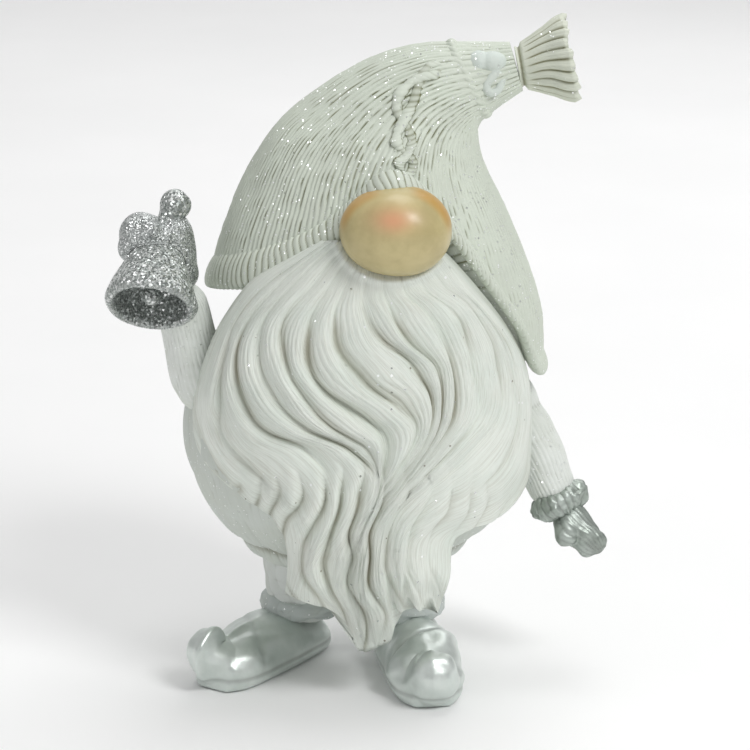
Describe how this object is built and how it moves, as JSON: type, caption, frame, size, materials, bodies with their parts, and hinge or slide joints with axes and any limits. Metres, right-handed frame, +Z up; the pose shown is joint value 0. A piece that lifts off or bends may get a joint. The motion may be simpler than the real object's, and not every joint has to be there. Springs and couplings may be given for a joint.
{
  "type": "garden gnome figurine",
  "caption": "Standing bearded gnome figurine in painted cast resin, with a bent knitted hat that ends in a tassel, a raised mitten holding a small hand bell, and curled slippers.",
  "frame": {"origin": "on the surface it stands on, under the middle of the figure's whole box", "axes": "+Z up along the standing figure; the face and the toes point to -Y; +X is the gnome's own left"},
  "size_m": [0.1328, 0.0908, 0.1797],
  "materials": {
    "coat": "matte",
    "beard": "matte",
    "nose": "satin",
    "hat_knit": "matte",
    "hat_trim": "satin",
    "tassel": "matte",
    "glitter_silver": "satin",
    "sleeve": "matte",
    "silver_knit": "satin",
    "trousers": "matte",
    "silver_shoe": "satin",
    "plain_resin": "matte",
    "wire": "satin"
  },
  "bodies": {
    "root": {"torso_shell": "coat", "pour_hole_plug": "plain_resin", "hat_shell": "hat_knit", "hat_brim": "hat_knit", "hat_braid": "hat_trim", "hat_tie": "hat_trim", "hat_bow": "hat_trim", "hat_tassel": "tassel", "beard": "beard", "nose": "nose", "right_sleeve": "sleeve", "right_mitten": "glitter_silver", "bell_cup": "glitter_silver", "bell_handle": "glitter_silver", "bell_clapper": "glitter_silver", "left_sleeve": "sleeve", "left_cuff": "silver_knit", "left_mitten": "silver_knit", "leg_wires": "wire", "arm_wires": "wire", "right_leg": "trousers", "left_leg": "trousers", "right_leg_cuff": "trousers", "left_leg_cuff": "trousers", "right_shoe": "silver_shoe", "left_shoe": "silver_shoe"}
  },
  "joints": []
}
